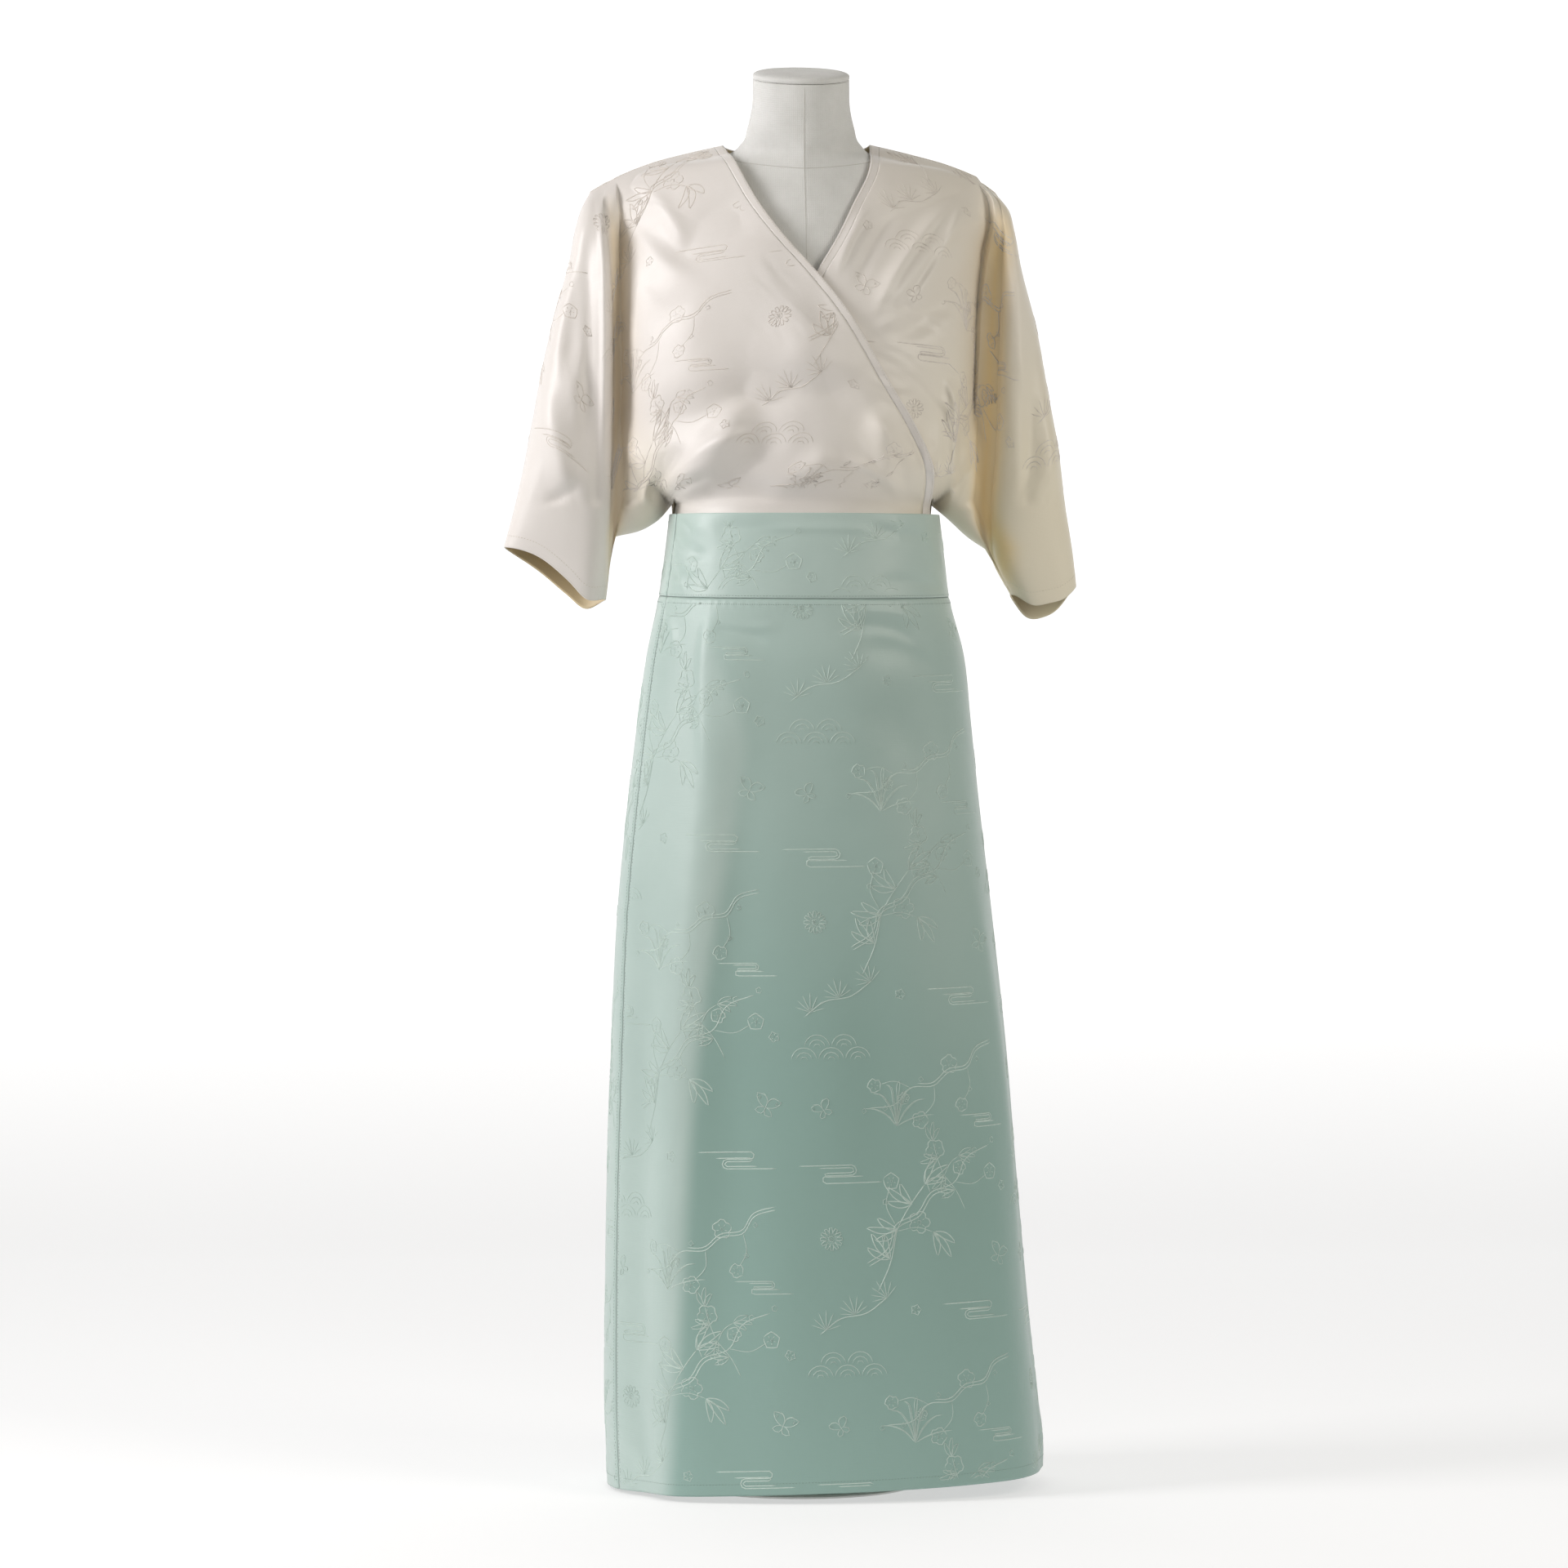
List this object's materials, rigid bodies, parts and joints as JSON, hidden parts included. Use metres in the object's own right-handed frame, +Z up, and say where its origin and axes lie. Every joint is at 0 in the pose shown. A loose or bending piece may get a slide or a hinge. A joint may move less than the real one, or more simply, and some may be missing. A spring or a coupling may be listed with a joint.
{
  "type": "hanfu wrap top and long skirt on a dress form",
  "caption": "Cream cross-over wrap top with batwing sleeves tucked into a long celadon A-line skirt, worn by a limbless dress form on a round stand.",
  "frame": {"origin": "centre of the underside of the stand's round base plate, on the floor", "axes": "+Z up through the pole, the garment's front faces -Y, +X is the viewer's right"},
  "size_m": [0.585, 0.3156, 1.4506],
  "materials": {
    "cream_satin": "cream jacquard satin, soft sheen",
    "celadon_satin": "celadon green jacquard satin, soft sheen",
    "form_linen": "off-white woven linen, matte",
    "stand_steel": "pale painted steel, satin"
  },
  "bodies": {
    "root": {"top_front_over": "cream_satin", "top_front_under": "cream_satin", "top_back": "cream_satin", "neck_binding_over": "cream_satin", "neck_binding_under": "cream_satin", "neck_binding_back": "cream_satin", "skirt_front": "celadon_satin", "skirt_back": "celadon_satin", "waistband_front": "celadon_satin", "waistband_back": "celadon_satin", "form_torso": "form_linen", "form_neck_cap": "form_linen", "form_pole": "stand_steel", "form_base": "stand_steel"}
  },
  "joints": []
}
